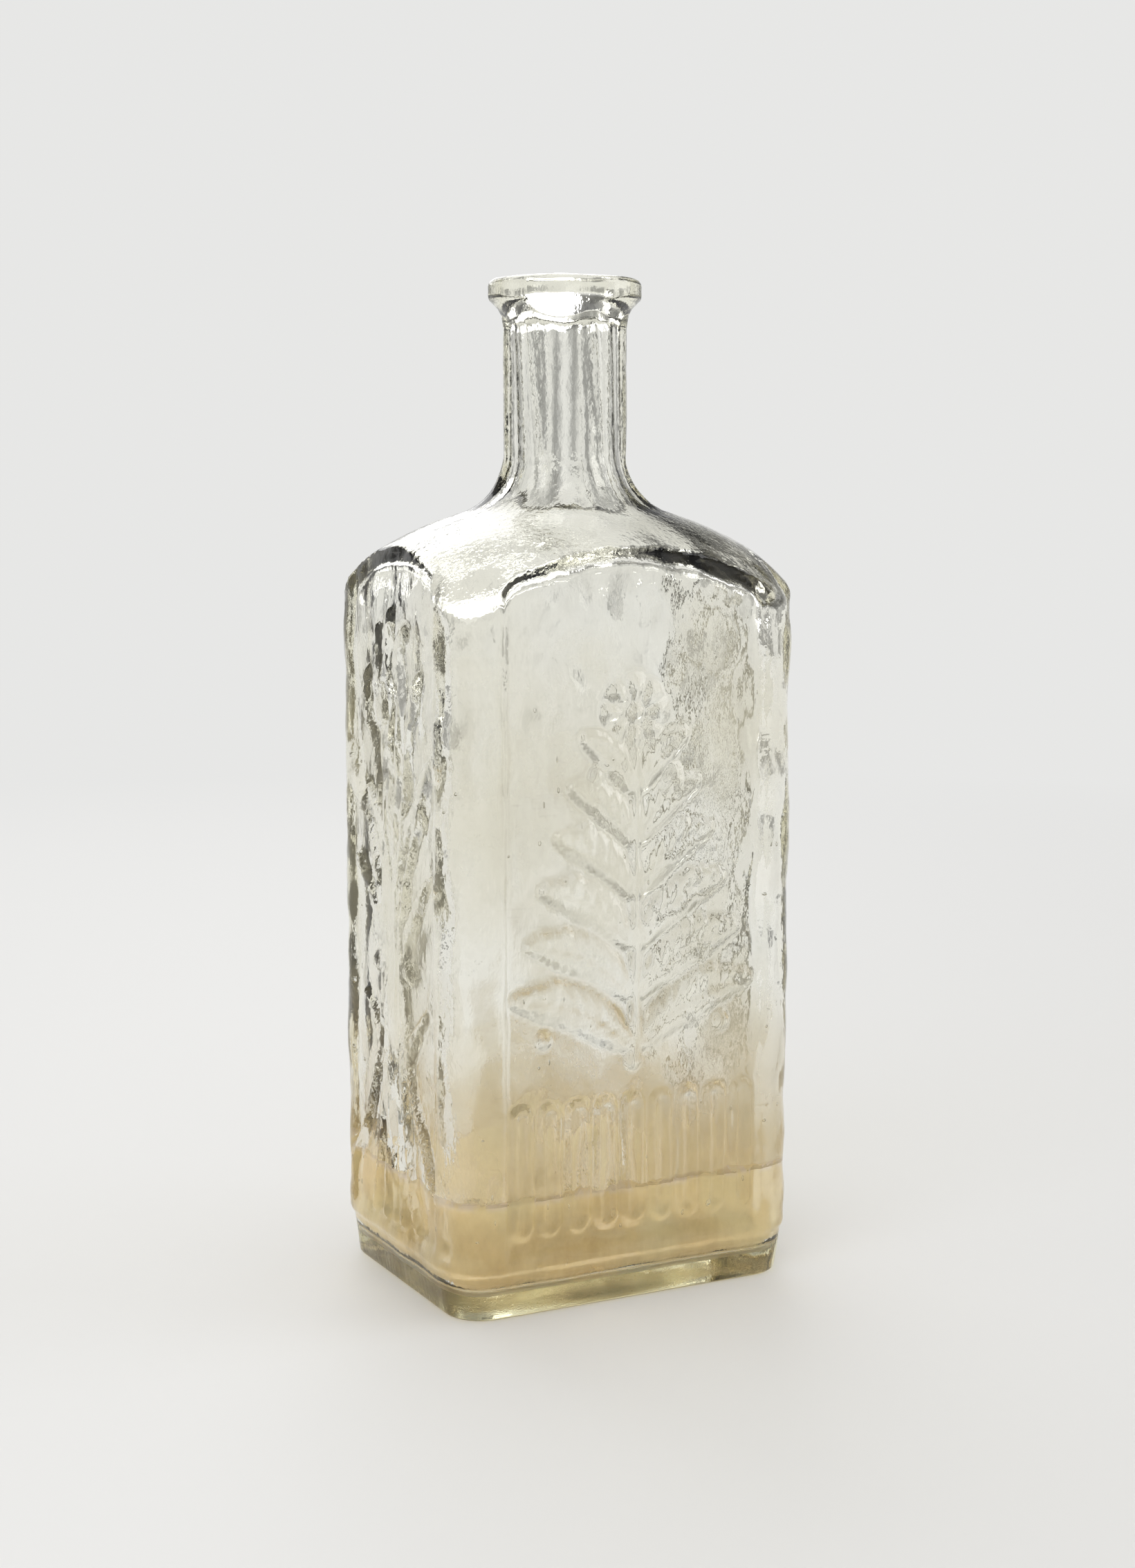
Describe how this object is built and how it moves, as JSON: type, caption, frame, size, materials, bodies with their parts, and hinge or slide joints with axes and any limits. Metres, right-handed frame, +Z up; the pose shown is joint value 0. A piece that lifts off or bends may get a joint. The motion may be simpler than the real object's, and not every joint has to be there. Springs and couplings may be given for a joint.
{
  "type": "bitters bottle",
  "caption": "Rectangular mould-blown glass bottle with an arched shoulder, six-sided neck and applied collar lip, open at the mouth, with dried residue inside.",
  "frame": {"origin": "centre of the base, on the surface that the bottle stands on", "axes": "+Z up through the mouth; the wide front faces -Y and +X is to the right of someone looking at the front"},
  "size_m": [0.084, 0.066, 0.2158],
  "materials": {
    "clear_glass": "clear with a faint straw tint, wavy inside and out, fire-polished",
    "lip_glass": "clear, tooled smooth, with faint turning lines",
    "amber_film": "dried amber film, thin and patchy",
    "pale_sediment": "dried pale crust, matt"
  },
  "bodies": {
    "root": {"glass_body": "clear_glass", "lip_collar": "lip_glass", "wall_film": "amber_film", "floor_sediment": "pale_sediment"}
  },
  "joints": []
}
